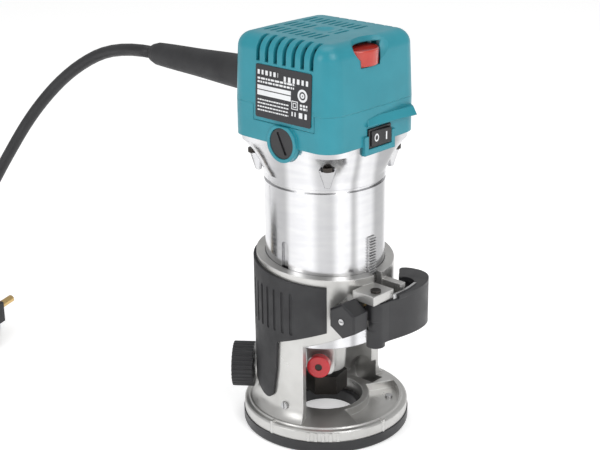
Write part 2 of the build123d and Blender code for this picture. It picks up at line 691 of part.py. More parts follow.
DIAL_X = -4.5
DIAL_Y = -23.6
DIAL_Z = 209.0
DRAFT = 2.5                # degrees that the cover's walls lean inwards
PLATE_LEAN = Vector(-cos(radians(DRAFT)), 0, sin(radians(DRAFT)))
PLATE_PLANE = Plane(origin=(-35.3, -4.1, 194.3), x_dir=(0, -1, 0), z_dir=PLATE_LEAN)
COVER_SCREWS = [(-20.0, 27.0), (20.0, 27.0)]
with BuildPart() as top_cover:
    with BuildSketch(Plane.XY.offset(SEAM_Z)):
        add(housing_outline(HOUSING_X + 0.3, HOUSING_Y + 0.3, 11))
    extrude(amount=HOUSING_TOP - SEAM_Z, taper=DRAFT)
    fillet(top_cover.edges().group_by(Axis.Z)[-1], 8.0)
    with BuildSketch(Plane.XZ.offset(-32)):
        with Locations((0, BULGE_Z)):
            Circle(16.0)
    extrude(amount=-20, taper=10)
    with BuildSketch(Plane.XY.offset(SEAM_Z)):
        add(housing_outline(HOUSING_X - 2.6, HOUSING_Y - 2.6, 9))
    extrude(amount=HOUSING_TOP - SEAM_Z - 2.8, taper=4.5, mode=Mode.SUBTRACT)
    with BuildSketch(Plane.XZ.offset(-30)):
        with Locations((0, CORD_Z)):
            Circle(11.2)
    extrude(amount=-16.6, mode=Mode.SUBTRACT)
    with BuildSketch(Plane.XZ.offset(-46)):
        with Locations((0, CORD_Z)):
            Circle(9.8)
    extrude(amount=-16, mode=Mode.SUBTRACT)
    # tongue behind the rating plate
    with BuildSketch(Plane.XY.offset(178.6)):
        with Locations((-34.1, -4)):
            Rectangle(3.2, 42.0)
    extrude(amount=10)
    with BuildSketch(PLATE_PLANE):
        RectangleRounded(39.0, 28.0, 1.4)
    extrude(amount=3, mode=Mode.SUBTRACT)
    # finger dish and slot for the speed dial
    with Locations((DIAL_X + 1.5, -44.5, 225.5)):
        Sphere(18.5, mode=Mode.SUBTRACT)
    with BuildSketch(Plane.XY.offset(DIAL_Z - 0.5)):
        with Locations((DIAL_X, DIAL_Y)):
            Circle(13.7)
    extrude(amount=9.0, mode=Mode.SUBTRACT)
    # side vents that wrap over the shoulder, then the top grille with its round dimple
    with BuildSketch(Plane.XY.offset(209.5)):
        with Locations(*[(-33, -22.6 + 6.1 * i) for i in range(7)]):
            Rectangle(13, 2.6)
        with Locations(*[(33, -22.6 + 6.1 * i) for i in range(7)]):
            Rectangle(13, 2.6)
    extrude(amount=20, mode=Mode.SUBTRACT)
    with BuildSketch(Plane.XY.offset(215)):
        with Locations(*[(x, -12 + 4.4 * row) for row in range(9) for x in (-15, 0, 15)]):
            SlotOverall(11, 2.0)
        Circle(8.0, mode=Mode.SUBTRACT)
    extrude(amount=20, mode=Mode.SUBTRACT)
    with Locations((0, 0, HOUSING_TOP + 11.4)):
        Sphere(12.8, mode=Mode.SUBTRACT)
    with BuildSketch(Plane.XY.offset(SEAM_Z)):
        with Locations(*COVER_SCREWS):
            Circle(4.0)
    extrude(amount=HOUSING_TOP - SEAM_Z - 2)
    with BuildSketch(Plane.XY.offset(180)):
        with Locations(*COVER_SCREWS):
            Circle(1.6)
    extrude(amount=24, mode=Mode.SUBTRACT)
save(top_cover.part, "top_cover")

with BuildPart() as cover_screws:
    with BuildSketch(Plane.XY.offset(SEAM_Z - 2.6)):
        with Locations(*COVER_SCREWS):
            Circle(3.0)
    extrude(amount=2.5)
    with BuildSketch(Plane.XY.offset(SEAM_Z - 0.1)):
        with Locations(*COVER_SCREWS):
            Circle(1.55)
    extrude(amount=14)
save(cover_screws.part, "cover_screws")

with BuildPart() as rating_plate:
    with BuildSketch(PLATE_PLANE):
        RectangleRounded(38.4, 27.4, 1.2)
    extrude(amount=0.45)
save(rating_plate.part, "rating_plate")

# ---------------------------------------------------------------- brushes
with BuildPart() as brush_holders:
    for side in (-1, 1):
        with BuildSketch(Plane.YZ.offset(side * 13.0)):
            with Locations((0, BRUSH_Z)):
                Rectangle(8.6, 6.6)
                Rectangle(6.2, 4.2, mode=Mode.SUBTRACT)
        extrude(amount=side * 14.0)
save(brush_holders.part, "brush_holders")

with BuildPart() as carbon_brushes:
    for side in (-1, 1):
        with BuildSketch(Plane.YZ.offset(side * 11.1)):
            with Locations((0, BRUSH_Z)):
                Rectangle(6.0, 4.0)
        extrude(amount=side * 9.0)
save(carbon_brushes.part, "carbon_brushes")

with BuildPart() as brush_springs:
    for side in (-1, 1):
        with BuildSketch(Plane.YZ.offset(side * 20.2)):
            with Locations((0, BRUSH_Z)):
                Circle(1.9)
                Circle(1.3, mode=Mode.SUBTRACT)
        extrude(amount=side * 6.6)
save(brush_springs.part, "brush_springs")

with BuildPart() as brush_caps:
    for side in (-1, 1):
        with BuildSketch(Plane.YZ.offset(side * 29.5)):
            with Locations((BRUSH_Y, BRUSH_Z)):
                Circle(6.1)
        extrude(amount=side * 6.1)
        with BuildSketch(Plane.YZ.offset(side * (HOUSING_X + 0.6))):
            with Locations((BRUSH_Y, BRUSH_Z)):
                Circle(8.0)
        extrude(amount=side * 1.6)
        cap_face = (side * (HOUSING_X + 1.2), BRUSH_Y, BRUSH_Z)
        with BuildSketch(Plane(origin=cap_face, x_dir=(0, 0.5, 1), z_dir=(side, 0, 0))):
            Rectangle(12.5, 1.6)
        extrude(amount=4, mode=Mode.SUBTRACT)
save(brush_caps.part, "brush_caps")

# ---------------------------------------------------------------- switch, dial and electronics
with BuildPart() as switch_body:
    with BuildSketch(Plane.XZ.offset(16)):
        with Locations((SWITCH_X, SWITCH_Z)):
            Rectangle(17.6, 10.0)
    extrude(amount=21.0)
    with BuildSketch(Plane.XZ.offset(27)):
        with Locations((SWITCH_X, SWITCH_Z)):
            Rectangle(15.6, 8.0)
    extrude(amount=12, mode=Mode.SUBTRACT)
    with BuildSketch(Plane.XY.offset(SWITCH_Z - 4.6)):
        with Locations((SWITCH_X, ROCKER_PIN_Y)):
            Circle(1.1)
    extrude(amount=9.2, mode=Mode.SUBTRACT)
save(switch_body.part, "switch_body")

with BuildPart() as power_rocker:
    with BuildSketch(Plane.XY.offset(SWITCH_Z - 3.8)):
        with BuildLine():
            Polyline((-5.6, -32.6), (-5.6, -37.4), (SWITCH_X, -38.0), (8.0, -39.0))
            Polyline((8.0, -39.0), (8.0, -32.6), (SWITCH_X, -29.6), (-5.6, -32.6))
        make_face()
    extrude(amount=7.6)
    # stub pins it rocks on
    with BuildSketch(Plane.XY.offset(SWITCH_Z - 4.5)):
        with Locations((SWITCH_X, ROCKER_PIN_Y)):
            Circle(1.0)
    extrude(amount=9.0)
save(power_rocker.part, "power_rocker")

with BuildPart() as speed_dial:
    with BuildSketch(Plane.XY.offset(DIAL_Z)):
        with Locations((DIAL_X, DIAL_Y)):
            Circle(13.0)
            Circle(1.6, mode=Mode.SUBTRACT)
    extrude(amount=8.0)
    fillet(speed_dial.edges().filter_by(GeomType.CIRCLE).group_by(Axis.Z)[-1].sort_by(SortBy.RADIUS)[-1], 0.8)
save(speed_dial.part, "speed_dial")

with BuildPart() as circuit_board:
    with BuildSketch(Plane.XY.offset(196)):
        with Locations((0, -6)):
            Rectangle(44, 40)
    extrude(amount=1.6)
    with BuildSketch(Plane.XY.offset(197.6)):
        with Locations((DIAL_X, DIAL_Y)):
            Circle(4.0)
    extrude(amount=DIAL_Z - 0.2 - 197.6)
    with BuildSketch(Plane.XY.offset(197.6)):
        with Locations((DIAL_X, DIAL_Y)):
            Circle(1.5)
    extrude(amount=DIAL_Z + 6 - 197.6)
    with BuildSketch(Plane.XY.offset(197.6)):
        with Locations((-12, 4), (10, 2)):
            Rectangle(9, 12)
    extrude(amount=9)
save(circuit_board.part, "circuit_board")

# ---------------------------------------------------------------- rotor
CROSS_R = 2.4
with BuildPart() as spindle:
    with BuildSketch(Plane.XY.offset(24)):
        Circle(SPINDLE_R)
    extrude(amount=34)
    with BuildSketch(Plane.XY.offset(58)):
        Circle(4.0)
    extrude(amount=122)
    with BuildSketch(Plane.XY.offset(180)):
        Circle(3.0)
    extrude(amount=8.2)
    with BuildSketch(Plane.XY.offset(20)):
        Circle(3.6)
    extrude(amount=9, mode=Mode.SUBTRACT)
    for cross in (LOCK_AZ, LOCK_AZ + 90):
        with BuildSketch(spoke_plane(cross, -8, LOCK_Z)):
            Circle(CROSS_R)
        extrude(amount=16, mode=Mode.SUBTRACT)
save(spindle.part, "spindle")

with BuildPart() as rotor_core:
    with BuildSketch(Plane.XY.offset(92)):
        Circle(17.4)
        Circle(4.0, mode=Mode.SUBTRACT)
        with PolarLocations(15.4, 12):
            Rectangle(5.0, 1.6, mode=Mode.SUBTRACT)
    extrude(amount=44)
save(rotor_core.part, "rotor_core")

with BuildPart() as commutator:
    with BuildSketch(Plane.XY.offset(161)):
        Circle(11.0)
        Circle(4.0, mode=Mode.SUBTRACT)
        with PolarLocations(10.8, 24):
            Rectangle(1.2, 0.5, mode=Mode.SUBTRACT)
    extrude(amount=16)
save(commutator.part, "commutator")

with BuildPart() as cooling_fan:
    with BuildSketch(Plane.XY.offset(64)):
        Circle(7.5)
        Circle(4.0, mode=Mode.SUBTRACT)
    extrude(amount=11)
    with BuildSketch(Plane.XY.offset(73.2)):
        Circle(27.0)
        Circle(4.0, mode=Mode.SUBTRACT)
    extrude(amount=1.8)
    with BuildSketch(Plane.XY.offset(66)):
        with PolarLocations(16.2, 11):
            Rectangle(19.6, 1.4)
    extrude(amount=7.4)
save(cooling_fan.part, "cooling_fan")

COLLET_BORE_R = 3.2
with BuildPart() as collet:
    with BuildSketch(Plane.XY.offset(15.2)):
        Circle(5.4)
    extrude(amount=3.6)
    with BuildSketch(Plane.XY.offset(18.8)):
        Circle(3.55)
    extrude(amount=9.8)
    with BuildSketch(Plane.XY.offset(15)):
        Circle(COLLET_BORE_R)
        for turn in (0, 90):
            Rectangle(12, 0.5, rotation=turn)
    extrude(amount=11, mode=Mode.SUBTRACT)
save(collet.part, "collet")

with BuildPart() as collet_nut:
    with BuildSketch(Plane.XY.offset(17)):
        RegularPolygon(12.1, 6, rotation=12)
    extrude(amount=11)
    with BuildSketch(Plane.XY.offset(17)):
        Circle(12.0)
    extrude(amount=11, taper=-4, mode=Mode.INTERSECT)
    with BuildSketch(Plane.XY.offset(16)):
        Circle(6.0)
    extrude(amount=4, mode=Mode.SUBTRACT)
    with BuildSketch(Plane.XY.offset(19)):
        Circle(SPINDLE_R)
    extrude(amount=12, mode=Mode.SUBTRACT)
save(collet_nut.part, "collet_nut")

# ---------------------------------------------------------------- shaft lock
with BuildPart() as lock_button:
    with BuildSketch(spoke_plane(LOCK_AZ, 17.6 + 3.5, LOCK_Z)):
        Circle(6.4)
        Circle(2.0, mode=Mode.SUBTRACT)
    extrude(amount=4.4)
    fillet(lock_button.edges().filter_by(GeomType.CIRCLE).sort_by(SortBy.RADIUS)[-1], 0.7)
save(lock_button.part, "lock_button")

with BuildPart() as lock_pin:
    with BuildSketch(spoke_plane(LOCK_AZ, 6.0, LOCK_Z)):
        Circle(2.0)
    extrude(amount=19.0)
save(lock_pin.part, "lock_pin")

with BuildPart() as lock_spring:
    with BuildSketch(spoke_plane(LOCK_AZ, 13.0, LOCK_Z)):
        Circle(3.6)
        Circle(2.0, mode=Mode.SUBTRACT)
    extrude(amount=8.0)
save(lock_spring.part, "lock_spring")

# ---------------------------------------------------------------- cord
with BuildPart() as cord_guard:
    with BuildSketch(Plane.XY.offset(CORD_Z)):
        with BuildLine():
            Polyline((0, 44), (11.0, 44), (11.0, 46.5), (9.7, 46.6), (9.7, 54))
            Spline((9.7, 54), (9.0, 75), (8.0, 95), (7.2, 118), (6.6, 130))
            Polyline((6.6, 130), (5.4, GUARD_END), (0, GUARD_END), (0, 44))
        make_face()
    revolve(axis=Axis((0, 0, CORD_Z), (0, 1, 0)))
    with BuildSketch(Plane.XZ.offset(-40)):
        with Locations((0, CORD_Z)):
            Circle(2.5)
    extrude(amount=-10, mode=Mode.SUBTRACT)
save(cord_guard.part, "cord_guard")

with BuildPart() as cord_clamp:
    with BuildSketch(Plane.XZ.offset(-24)):
        with Locations((0, CORD_Z)):
            Rectangle(22, 7)
            Circle(2.6, mode=Mode.SUBTRACT)
    extrude(amount=-6)
save(cord_clamp.part, "cord_clamp")

COIL_R_OUT = COIL_MID_R + COIL_COLUMNS / 2 * CORD_D
COIL_R_IN = COIL_MID_R - COIL_COLUMNS / 2 * CORD_D
COIL_TOP = COIL_LAYERS * CORD_D
with BuildPart() as cord_coil:
    with BuildSketch():
        with Locations((COIL_X, COIL_Y)):
            Circle(COIL_R_OUT)
            Circle(COIL_R_IN, mode=Mode.SUBTRACT)
    extrude(amount=COIL_TOP)
    fillet(cord_coil.edges().filter_by(GeomType.CIRCLE), CORD_D / 2 - 0.2)
save(cord_coil.part, "cord_coil")

LAY_Z = CORD_D / 2
ENTRY_Y = COIL_Y + COIL_R_OUT - CORD_D / 2
ROUTE = [
    (0, GUARD_END, CORD_Z),
    (0, 167, CORD_Z),
    (-7, 204, 172),
    (-17, 234, 142),
    (-28, 256, 106),
    (-38, 278, 67),
    (-48, 297, 33),
    (-58, 306.5, 19),
    (-71, 313, 10.2),
    (-85, ENTRY_Y - 0.8, 5.0),
    (-100, ENTRY_Y, LAY_Z),
]


def bend_radii(route):
    """Radius at each inner point: 0.45 of the shorter run over the tangent of half the turn."""
    radii = []
    for before, here, after in zip(route, route[1:], route[2:]):
        first = Vector(*here) - Vector(*before)
        second = Vector(*after) - Vector(*here)
        half_turn = radians(first.get_angle(second)) / 2
        radii.append(0.45 * min(first.length, second.length) / tan(half_turn))
    return radii


radii = bend_radii(ROUTE)
print("cord bend radii:", [round(r) for r in radii])
with BuildPart() as cord_tube:
    with BuildLine() as cord_line:
        FilletPolyline(*ROUTE, radius=radii)
    with BuildSketch(Plane(origin=ROUTE[0], z_dir=Vector(*ROUTE[1]) - Vector(*ROUTE[0]))):
        Circle(CORD_D / 2)
    sweep()
cord_length = sum(edge.length for edge in cord_line.edges())
cord_fill = cord_tube.part.volume / (pi * CORD_D ** 2 / 4 * cord_length)
print("cord tube length and volume over section times length:", round(cord_length, 1), round(cord_fill, 4))
with BuildPart() as cord_run:
    add(cord_tube.part)
    with BuildSketch(Plane.XY.offset(-5)):
        with Locations((COIL_X, COIL_Y)):
            Circle(COIL_R_OUT + 0.4)
    extrude(amount=60, mode=Mode.SUBTRACT)
save(cord_run.part, "cord_tube")

PLUG_AZ = -70             # where on the coil the plug lies, degrees about the coil's centre
plug_side = Vector(cos(radians(PLUG_AZ)), sin(radians(PLUG_AZ)), 0)
plug_middle = Vector(COIL_X, COIL_Y, COIL_TOP) + plug_side * COIL_MID_R
plug_ahead = Vector(-sin(radians(PLUG_AZ)), cos(radians(PLUG_AZ)), 0)
plug_plane = Plane(origin=plug_middle, x_dir=plug_ahead, z_dir=(0, 0, 1))
PLUG_H = 13.6
with BuildPart() as plug_body:
    with BuildSketch(plug_plane.offset(0.3)):
        with BuildLine():
            Polyline((20, -17.5), (20, 17.5), (6, 17.5))
            Spline((6, 17.5), (-8, 9.5), (-24, 6.0))
            Polyline((-24, 6.0), (-36, 5.0), (-36, -5.0), (-24, -6.0))
            Spline((-24, -6.0), (-8, -9.5), (6, -17.5))
            Line((6, -17.5), (20, -17.5))
        make_face()
    extrude(amount=PLUG_H)
    chamfer(plug_body.edges().group_by(Axis.Z)[-1], 0.9)
save(plug_body.part, "plug_body")

with BuildPart() as plug_pins:
    pin_root = plug_middle + plug_ahead * 20 + Vector(0, 0, PLUG_H / 2)
    with BuildSketch(Plane(origin=pin_root, x_dir=(0, 0, 1), z_dir=plug_ahead)):
        with Locations((0, -9.5), (0, 9.5)):
            Circle(2.4)
    extrude(amount=19)
save(plug_pins.part, "plug_pins")
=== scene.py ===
"""Looks of the trim router: materials, print, cord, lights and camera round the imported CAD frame."""
import math
import random

import bmesh
import bpy
from mathutils import Matrix, Vector


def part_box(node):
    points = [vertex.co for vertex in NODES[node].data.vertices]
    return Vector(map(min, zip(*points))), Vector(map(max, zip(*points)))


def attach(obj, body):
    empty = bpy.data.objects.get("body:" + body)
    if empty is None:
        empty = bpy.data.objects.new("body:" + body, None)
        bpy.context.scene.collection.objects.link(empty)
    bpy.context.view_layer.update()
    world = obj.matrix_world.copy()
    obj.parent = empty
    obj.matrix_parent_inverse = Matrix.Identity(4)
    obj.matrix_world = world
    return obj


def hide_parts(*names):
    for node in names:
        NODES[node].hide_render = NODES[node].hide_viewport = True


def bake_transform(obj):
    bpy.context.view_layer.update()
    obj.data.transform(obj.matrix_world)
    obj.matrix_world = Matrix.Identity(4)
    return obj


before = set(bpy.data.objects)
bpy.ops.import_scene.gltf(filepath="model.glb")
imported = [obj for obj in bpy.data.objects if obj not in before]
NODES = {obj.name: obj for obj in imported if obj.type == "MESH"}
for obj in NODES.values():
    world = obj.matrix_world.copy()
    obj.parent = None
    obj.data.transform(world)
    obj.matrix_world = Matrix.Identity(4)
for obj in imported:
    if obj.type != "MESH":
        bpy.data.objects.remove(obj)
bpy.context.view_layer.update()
MM = 0.001


# ------------------------------------------------------------------ camera
CAMERA_AZIMUTH = math.radians(-48)
CAMERA_DISTANCE = 0.67948
CAMERA_HEIGHT = 0.36256
CAMERA_YAW = -0.020
CAMERA_PITCH = 0.350
CAMERA_ROLL = -0.0115
CAMERA_LENS = 79.9
CAMERA_SENSOR = 36


def make_camera():
    """Camera at the photographed angle, aimed slightly left of the spindle and down."""
    east = Vector((math.cos(CAMERA_AZIMUTH), math.sin(CAMERA_AZIMUTH), 0))
    north = Vector((-math.sin(CAMERA_AZIMUTH), math.cos(CAMERA_AZIMUTH), 0))
    up = Vector((0, 0, 1))
    level = math.cos(CAMERA_PITCH)
    heading = east * math.sin(CAMERA_YAW) + north * math.cos(CAMERA_YAW)
    ahead = heading * level - up * math.sin(CAMERA_PITCH)
    right = ahead.cross(up).normalized()
    over = right.cross(ahead).normalized()
    rolled_right = right * math.cos(CAMERA_ROLL) + over * math.sin(CAMERA_ROLL)
    rolled_over = over * math.cos(CAMERA_ROLL) - right * math.sin(CAMERA_ROLL)
    data = bpy.data.cameras.new("camera")
    data.lens = CAMERA_LENS
    data.sensor_width = CAMERA_SENSOR
    camera = bpy.data.objects.new("camera", data)
    bpy.context.collection.objects.link(camera)
    camera.matrix_world = Matrix((
        (rolled_right.x, rolled_over.x, -ahead.x, -north.x * CAMERA_DISTANCE),
        (rolled_right.y, rolled_over.y, -ahead.y, -north.y * CAMERA_DISTANCE),
        (rolled_right.z, rolled_over.z, -ahead.z, CAMERA_HEIGHT),
        (0, 0, 0, 1)))
    bpy.context.scene.camera = camera


make_camera()


# ------------------------------------------------------------------ material kit
def new_material(name):
    """Empty node material with its principled shader."""
    material = bpy.data.materials.new(name)
    material.use_nodes = True
    return material, material.node_tree, material.node_tree.nodes["Principled BSDF"]


def node(tree, kind, **settings):
    """Add a shader node and set its attributes or, by input name, its sockets."""
    made = tree.nodes.new(kind)
    for key, value in settings.items():
        if hasattr(made, key):
            setattr(made, key, value)
        else:
            made.inputs[key.replace("_", " ")].default_value = value
    return made


def coordinates(tree, stretch=(1, 1, 1)):
    """Object coordinates, stretched to draw a grain out along an axis."""
    source = node(tree, "ShaderNodeTexCoord")
    mapping = node(tree, "ShaderNodeMapping")
    mapping.inputs["Scale"].default_value = stretch
    tree.links.new(source.outputs["Object"], mapping.inputs["Vector"])
    return mapping.outputs["Vector"]


def noise(tree, scale, detail=3.0, stretch=(1, 1, 1)):
    """Noise texture's factor at a scale in cycles per metre."""
    made = node(tree, "ShaderNodeTexNoise", Scale=scale, Detail=detail)
    tree.links.new(coordinates(tree, stretch), made.inputs["Vector"])
    return made.outputs["Fac"]


def ramp(tree, factor, low, high, start, end):
    """Colour ramp between two colours over a stretch of the factor."""
    made = node(tree, "ShaderNodeValToRGB")
    made.color_ramp.elements[0].position = start
    made.color_ramp.elements[1].position = end
    made.color_ramp.elements[0].color = (*low, 1)
    made.color_ramp.elements[1].color = (*high, 1)
    tree.links.new(factor, made.inputs["Fac"])
    return made.outputs["Color"]


def edge_mask(tree, radius):
    """One on convex and concave edges, nought on flats, from the rounded normal."""
    bevel = node(tree, "ShaderNodeBevel", samples=4, Radius=radius)
    geometry = node(tree, "ShaderNodeNewGeometry")
    dot = node(tree, "ShaderNodeVectorMath", operation="DOT_PRODUCT")
    tree.links.new(bevel.outputs["Normal"], dot.inputs[0])
    tree.links.new(geometry.outputs["Normal"], dot.inputs[1])
    return bevel.outputs["Normal"], dot.outputs["Value"]


def painted_reflection_bands(tree, colour, reflection_bands):
    """Painted reflections: soft light and dark stripes down a turned face; pairs of angle about the
    spindle, in degrees, and brightness.
    """
    gradient = node(tree, "ShaderNodeTexGradient", gradient_type="RADIAL")
    tree.links.new(coordinates(tree), gradient.inputs["Vector"])
    made = node(tree, "ShaderNodeValToRGB")
    made.color_ramp.interpolation = "EASE"
    while len(made.color_ramp.elements) < len(reflection_bands):
        made.color_ramp.elements.new(0.5)
    for stop, (angle, level) in zip(made.color_ramp.elements, reflection_bands):
        stop.position = angle / 360 + 0.5
        stop.color = (*(channel * level for channel in colour), 1)
    tree.links.new(gradient.outputs["Fac"], made.inputs["Fac"])
    return made.outputs["Color"]


def finish_surface(name, colour, shade, rough, metallic=0.0, grain=900.0, grain_depth=0.00004,
                   stretch=(1, 1, 1), edge=0.0004, worn=None, wear=0.5, coat=0.0, extra=None, reflection_bands=None):
    """Material with two-tone variation, uneven roughness, fine relief, rounded edges, edge wear and, when
    asked, painted reflection stripes.
    """
    material, tree, shader = new_material(name)
    rounded, flatness = edge_mask(tree, edge)
    tone = ramp(tree, noise(tree, 55.0, 4.0, stretch), shade, colour, 0.35, 0.65)
    # painted reflections: light and dark stripes multiplied into the colour, standing in for reflections
    if reflection_bands:
        painted_reflections = node(tree, "ShaderNodeMix", data_type="RGBA", blend_type="MULTIPLY")
        painted_reflections.inputs[0].default_value = 1.0
        tree.links.new(tone, painted_reflections.inputs[6])
        tree.links.new(painted_reflection_bands(tree, (1, 1, 1), reflection_bands), painted_reflections.inputs[7])
        tone = painted_reflections.outputs[2]
    if worn:
        mask = ramp(tree, flatness, (wear, wear, wear), (0, 0, 0), 0.80, 0.985)
        patch = ramp(tree, noise(tree, 160.0, 5.0), (0.15, 0.15, 0.15), (1, 1, 1), 0.38, 0.62)
        amount = node(tree, "ShaderNodeMath", operation="MULTIPLY")
        tree.links.new(mask, amount.inputs[0])
        tree.links.new(patch, amount.inputs[1])
        mix = node(tree, "ShaderNodeMix", data_type="RGBA")
        tree.links.new(amount.outputs[0], mix.inputs[0])
        tree.links.new(tone, mix.inputs[6])
        mix.inputs[7].default_value = (*worn, 1)
        tone = mix.outputs[2]
    tree.links.new(tone, shader.inputs["Base Color"])
    low, high = rough
    roughness = ramp(tree, noise(tree, 120.0, 5.0, stretch), (low,) * 3, (high,) * 3, 0.3, 0.7)
    tree.links.new(roughness, shader.inputs["Roughness"])
    shader.inputs["Metallic"].default_value = metallic
    shader.inputs["Coat Weight"].default_value = coat
    bump = node(tree, "ShaderNodeBump", Strength=1.0, Distance=grain_depth)
    tree.links.new(noise(tree, grain, 2.0, stretch), bump.inputs["Height"])
    tree.links.new(rounded, bump.inputs["Normal"])
    tree.links.new(bump.outputs["Normal"], shader.inputs["Normal"])
    for key, value in (extra or {}).items():
        shader.inputs[key].default_value = value
    return material


CAST = finish_surface("cast_aluminium", (0.60, 0.595, 0.58), (0.52, 0.515, 0.50), (0.27, 0.38), 0.85,
                      grain=1500.0, grain_depth=0.00003, edge=0.0008, worn=(0.95, 0.95, 0.94), wear=0.8)
# painted reflections on the turned barrel: soft light and dark stripes in place of real reflections; angle
# about the spindle, brightness
BARREL_REFLECTION_BANDS = (
    (-179, 0.55), (-170, 0.90), (-160, 0.95), (-152, 1.0), (-142, 0.66), (-133, 0.62), (-124, 1.0),
    (-116, 0.92), (-111, 0.55), (-104, 0.96), (-92, 0.90), (-82, 0.50), (-68, 0.48), (-58, 0.85),
    (-20, 0.6), (10, 0.95), (45, 0.6), (80, 0.98), (120, 0.6), (150, 0.95), (179, 0.55))
POLISHED = finish_surface("polished_aluminium", (0.80, 0.80, 0.81), (0.74, 0.74, 0.76), (0.16, 0.24),
                          1.0,
                          grain=2600.0, grain_depth=0.000004, stretch=(1, 1, 6), edge=0.0005,
                          reflection_bands=BARREL_REFLECTION_BANDS)
TEAL = finish_surface("teal_plastic", (0.020, 0.262, 0.330), (0.016, 0.238, 0.300), (0.30, 0.40), 0.0,
                      grain=2600.0, grain_depth=0.00002, edge=0.0009, worn=(0.12, 0.50, 0.58), wear=0.35)
BLACK = finish_surface("black_plastic", (0.022, 0.022, 0.024), (0.014, 0.014, 0.016), (0.34, 0.48), 0.0,
                       grain=2200.0, grain_depth=0.00003, edge=0.0007, worn=(0.09, 0.09, 0.10), wear=0.6)
RUBBER = finish_surface("black_rubber", (0.026, 0.026, 0.028), (0.016, 0.016, 0.018), (0.52, 0.68), 0.0,
                        grain=3200.0, grain_depth=0.00005, edge=0.0006, worn=(0.07, 0.07, 0.075), wear=0.4)
CORD_SKIN = finish_surface("cord_rubber", (0.020, 0.020, 0.022), (0.012, 0.012, 0.014), (0.40, 0.55),
                           0.0,
                           grain=2600.0, grain_depth=0.00003, edge=0.0003)
RED = finish_surface("red_button", (0.62, 0.012, 0.022), (0.50, 0.008, 0.016), (0.18, 0.28), 0.0,
                     grain=1800.0, grain_depth=0.00001, edge=0.0005, worn=(0.9, 0.25, 0.25), wear=0.3,
                     coat=0.4)
DIAL = finish_surface("red_dial", (0.78, 0.060, 0.035), (0.62, 0.035, 0.022), (0.12, 0.22), 0.0,
                      grain=1500.0, grain_depth=0.00001, edge=0.0004, coat=0.5,
                      extra={"Transmission Weight": 0.25, "Subsurface Weight": 0.15})
STEEL = finish_surface("machined_steel", (0.62, 0.62, 0.62), (0.48, 0.48, 0.49), (0.22, 0.36), 1.0,
                       grain=2400.0, grain_depth=0.00001, stretch=(1, 1, 5), edge=0.0003,
                       worn=(0.85, 0.85, 0.85))
DARK_STEEL = finish_surface("blackened_steel", (0.060, 0.052, 0.046), (0.030, 0.027, 0.025),
                            (0.28, 0.42), 0.8,
                            grain=1800.0, grain_depth=0.00002, edge=0.0004,
                            worn=(0.35, 0.33, 0.31), wear=0.5)
BRASS = finish_surface("brass", (0.70, 0.50, 0.22), (0.56, 0.38, 0.16), (0.22, 0.34), 1.0,
                       grain=1800.0, grain_depth=0.00001, edge=0.0003)
COPPER = finish_surface("copper_winding", (0.60, 0.26, 0.12), (0.40, 0.15, 0.07), (0.25, 0.40), 0.9,
                        grain=1400.0, grain_depth=0.00030, stretch=(1, 1, 8))
CARBON = finish_surface("carbon", (0.05, 0.05, 0.05), (0.03, 0.03, 0.03), (0.45, 0.6), 0.1)
BOARD = finish_surface("circuit_board", (0.02, 0.16, 0.07), (0.015, 0.12, 0.05),
                       (0.3, 0.4), 0.0, coat=0.3)
PLATE = finish_surface("rating_plate", (0.020, 0.020, 0.024), (0.014, 0.014, 0.017), (0.25, 0.36), 0.0,
                       grain=3000.0, grain_depth=0.000008, edge=0.0003, worn=(0.16, 0.16, 0.17), wear=0.5)
PRINT = finish_surface("white_print", (0.82, 0.83, 0.84), (0.74, 0.75, 0.77), (0.35, 0.5), 0.0,
                       grain=4000.0, grain_depth=0.000005, edge=0.00005)

NODE_MATERIALS = {
    CAST: ["base_casting", "bearing_nose"],
    POLISHED: ["motor_barrel"],
    TEAL: ["lower_housing", "top_cover"],
    BLACK: ["sole_plate", "clamp_lever", "adjust_knob", "guide_knob", "brush_caps", "switch_body",
            "power_rocker", "air_baffle", "cooling_fan", "cord_clamp"],
    RUBBER: ["rubber_grip", "cord_guard", "plug_body"],
    RED: ["lock_button"],
    DIAL: ["speed_dial"],
    STEEL: ["sole_screws", "leg_screw", "clamp_bolt", "clamp_washer", "clamp_nut", "lever_liner",
            "knob_screw", "pinion_shaft", "pinion_gear", "guide_screw", "depth_rack", "lower_bearing",
            "upper_bearing", "stator_core", "cover_screws", "brush_springs", "spindle", "rotor_core",
            "lock_spring"],
    DARK_STEEL: ["lever_pin", "shaft_clip", "housing_screws", "collet", "collet_nut", "lock_pin"],
    BRASS: ["shaft_bushes", "plug_pins", "brush_holders"],
    COPPER: ["stator_windings", "commutator"],
    CARBON: ["carbon_brushes"],
    BOARD: ["circuit_board"],
    PLATE: ["rating_plate"],
}


def dress_nodes():
    """Give every CAD node its procedural material."""
    for material, names in NODE_MATERIALS.items():
        for name in names:
            piece = NODES[name]
            if not piece.material_slots:
                piece.data.materials.append(material)
            for place in piece.material_slots:
                place.material = material


dress_nodes()


# ------------------------------------------------------------------ small mesh helpers
def mesh_piece(name, build, material, body):
    """Object from a bmesh-filling function, riding on a body."""
    shape = bmesh.new()
    build(shape)
    bmesh.ops.recalc_face_normals(shape, faces=shape.faces)
    data = bpy.data.meshes.new(name)
    shape.to_mesh(data)
    shape.free()
    data.materials.append(material)
    piece = bpy.data.objects.new(name, data)
    bpy.context.collection.objects.link(piece)
    if body:
        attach(piece, body)
    return piece


def add_block(shape, origin, across, up, out, centre, size, thick):
    """Thin block on a plane: centre and size in plane units, raised by its thickness."""
    half_w, half_h = size[0] / 2, size[1] / 2
    corners = []
    for height in (0, thick):
        for dx, dy in ((-half_w, -half_h), (half_w, -half_h), (half_w, half_h), (-half_w, half_h)):
            point = origin + across * (centre[0] + dx) + up * (centre[1] + dy) + out * height
            corners.append(shape.verts.new(point))
    for loop in ((3, 2, 1, 0), (4, 5, 6, 7), (0, 1, 5, 4), (1, 2, 6, 5), (2, 3, 7, 6), (3, 0, 4, 7)):
        shape.faces.new([corners[i] for i in loop])


